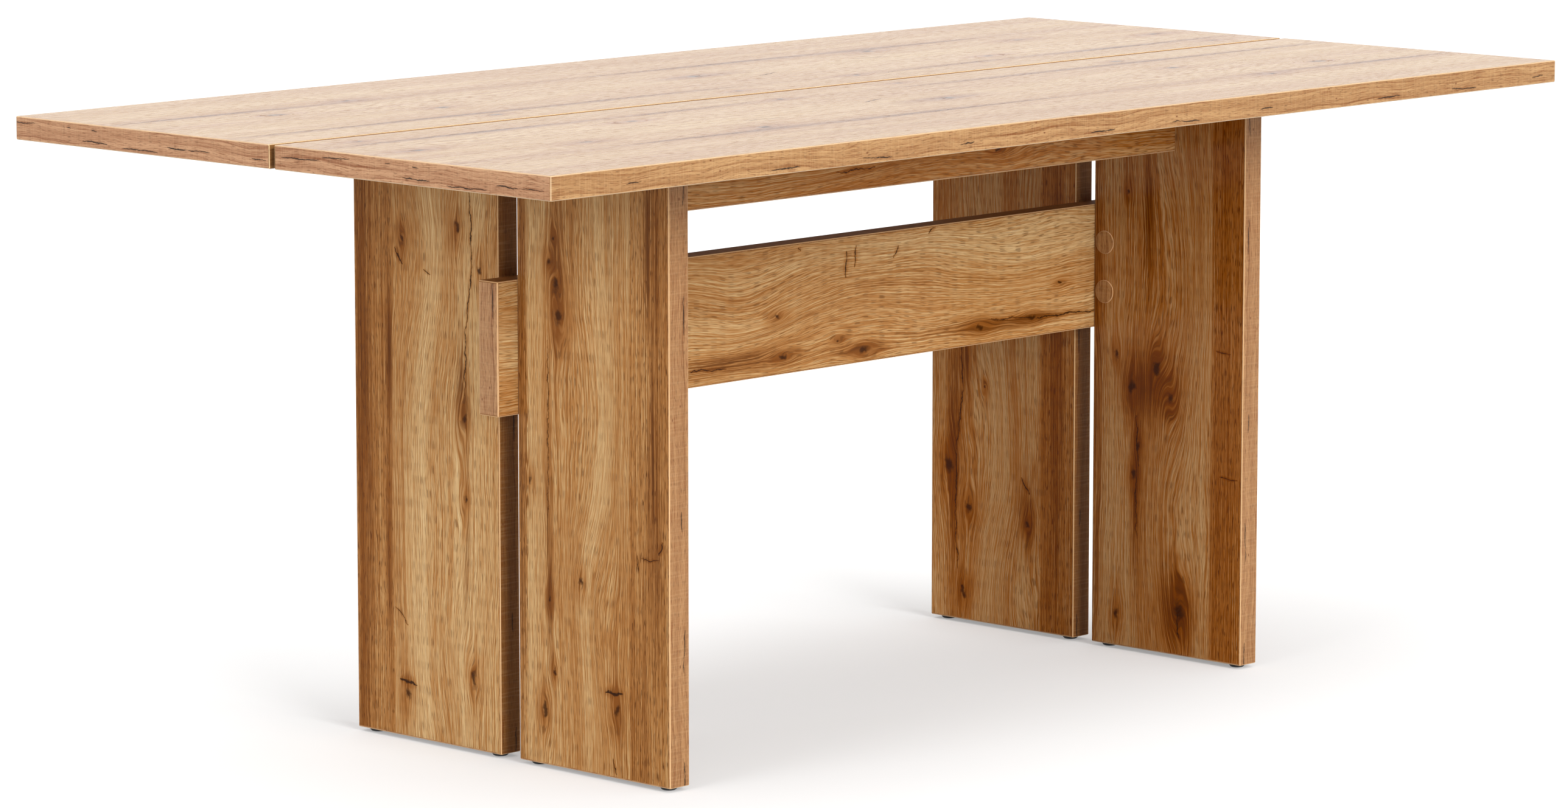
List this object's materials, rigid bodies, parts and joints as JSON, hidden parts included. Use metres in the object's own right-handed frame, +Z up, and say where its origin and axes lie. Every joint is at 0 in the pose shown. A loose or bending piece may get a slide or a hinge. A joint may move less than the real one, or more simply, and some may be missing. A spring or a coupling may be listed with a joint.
{
  "type": "trestle dining table",
  "caption": "Fixed trestle dining table: split plank top over panel legs, a through stretcher and under-top rails, in oak-decor boards with banded edges and cam-lock joints.",
  "frame": {"origin": "on the floor, under the middle of the top", "axes": "+X along the top's length, to the right seen from the front; +Y to the rear; +Z up"},
  "size_m": [1.8, 0.9, 0.765],
  "materials": {
    "oak_board": "oak-look decor on chipboard, satin, fine pore texture",
    "oak_edge_band": "oak-look thick edge band, satin, milled arrises a little lighter",
    "oak_cover_cap": "oak-look moulded cap, satin",
    "zinc_cam": "die-cast zinc, bare, dull",
    "plated_steel": "bright zinc-plated steel",
    "beech_dowel": "bare fluted beech",
    "glide_plastic": "black moulded plastic"
  },
  "bodies": {
    "table": {"bracket_screws": "plated_steel", "floor_glides": "glide_plastic", "glide_nails": "plated_steel", "leg_left_front": "oak_board", "leg_left_front_band_foot": "oak_edge_band", "leg_left_front_band_gap": "oak_edge_band", "leg_left_front_band_outer": "oak_edge_band", "leg_left_rear": "oak_board", "leg_left_rear_band_foot": "oak_edge_band", "leg_left_rear_band_gap": "oak_edge_band", "leg_left_rear_band_outer": "oak_edge_band", "leg_right_front": "oak_board", "leg_right_front_band_foot": "oak_edge_band", "leg_right_front_band_gap": "oak_edge_band", "leg_right_front_band_outer": "oak_edge_band", "leg_right_rear": "oak_board", "leg_right_rear_band_foot": "oak_edge_band", "leg_right_rear_band_gap": "oak_edge_band", "leg_right_rear_band_outer": "oak_edge_band", "rail_bolts": "plated_steel", "rail_cam_caps": "oak_cover_cap", "rail_dowels": "beech_dowel", "rail_front": "oak_board", "rail_front_band_lower": "oak_edge_band", "rail_rear": "oak_board", "rail_rear_band_lower": "oak_edge_band", "stretcher": "oak_board", "stretcher_band_left": "oak_edge_band", "stretcher_band_lower": "oak_edge_band", "stretcher_band_right": "oak_edge_band", "stretcher_band_upper": "oak_edge_band", "stretcher_bolts": "plated_steel", "stretcher_cam_caps": "oak_cover_cap", "top_brackets": "plated_steel", "top_front_band_gap": "oak_edge_band", "top_front_band_left": "oak_edge_band", "top_front_band_outer": "oak_edge_band", "top_front_band_right": "oak_edge_band", "top_plank_front": "oak_board", "top_plank_rear": "oak_board", "top_rear_band_gap": "oak_edge_band", "top_rear_band_left": "oak_edge_band", "top_rear_band_outer": "oak_edge_band", "top_rear_band_right": "oak_edge_band"},
    "cam_left_front_lower": {"cam_left_front_lower": "zinc_cam"},
    "cam_left_front_upper": {"cam_left_front_upper": "zinc_cam"},
    "cam_left_rear_lower": {"cam_left_rear_lower": "zinc_cam"},
    "cam_left_rear_upper": {"cam_left_rear_upper": "zinc_cam"},
    "cam_right_front_lower": {"cam_right_front_lower": "zinc_cam"},
    "cam_right_front_upper": {"cam_right_front_upper": "zinc_cam"},
    "cam_right_rear_lower": {"cam_right_rear_lower": "zinc_cam"},
    "cam_right_rear_upper": {"cam_right_rear_upper": "zinc_cam"},
    "rail_cam_front_left": {"rail_cam_front_left": "zinc_cam"},
    "rail_cam_front_right": {"rail_cam_front_right": "zinc_cam"},
    "rail_cam_rear_left": {"rail_cam_rear_left": "zinc_cam"},
    "rail_cam_rear_right": {"rail_cam_rear_right": "zinc_cam"}
  },
  "joints": [
    {"name": "cam_left_front_lower_turn", "type": "hinge", "parent": "table", "child": "cam_left_front_lower", "pos_m": [-0.501, -0.034, 0.466], "axis": [1, 0, 0], "range_deg": [0, 180]},
    {"name": "cam_left_front_upper_turn", "type": "hinge", "parent": "table", "child": "cam_left_front_upper", "pos_m": [-0.501, -0.034, 0.53], "axis": [1, 0, 0], "range_deg": [0, 180]},
    {"name": "cam_left_rear_lower_turn", "type": "hinge", "parent": "table", "child": "cam_left_rear_lower", "pos_m": [-0.501, 0.034, 0.466], "axis": [1, 0, 0], "range_deg": [0, 180]},
    {"name": "cam_left_rear_upper_turn", "type": "hinge", "parent": "table", "child": "cam_left_rear_upper", "pos_m": [-0.501, 0.034, 0.53], "axis": [1, 0, 0], "range_deg": [0, 180]},
    {"name": "cam_right_front_lower_turn", "type": "hinge", "parent": "table", "child": "cam_right_front_lower", "pos_m": [0.501, -0.034, 0.466], "axis": [-1, 0, 0], "range_deg": [0, 180]},
    {"name": "cam_right_front_upper_turn", "type": "hinge", "parent": "table", "child": "cam_right_front_upper", "pos_m": [0.501, -0.034, 0.53], "axis": [-1, 0, 0], "range_deg": [0, 180]},
    {"name": "cam_right_rear_lower_turn", "type": "hinge", "parent": "table", "child": "cam_right_rear_lower", "pos_m": [0.501, 0.034, 0.466], "axis": [-1, 0, 0], "range_deg": [0, 180]},
    {"name": "cam_right_rear_upper_turn", "type": "hinge", "parent": "table", "child": "cam_right_rear_upper", "pos_m": [0.501, 0.034, 0.53], "axis": [-1, 0, 0], "range_deg": [0, 180]},
    {"name": "rail_cam_front_left_turn", "type": "hinge", "parent": "table", "child": "rail_cam_front_left", "pos_m": [-0.467, -0.132, 0.713], "axis": [0, 1, 0], "range_deg": [0, 180]},
    {"name": "rail_cam_front_right_turn", "type": "hinge", "parent": "table", "child": "rail_cam_front_right", "pos_m": [0.467, -0.132, 0.713], "axis": [0, 1, 0], "range_deg": [0, 180]},
    {"name": "rail_cam_rear_left_turn", "type": "hinge", "parent": "table", "child": "rail_cam_rear_left", "pos_m": [-0.467, 0.132, 0.713], "axis": [0, -1, 0], "range_deg": [0, 180]},
    {"name": "rail_cam_rear_right_turn", "type": "hinge", "parent": "table", "child": "rail_cam_rear_right", "pos_m": [0.467, 0.132, 0.713], "axis": [0, -1, 0], "range_deg": [0, 180]}
  ]
}
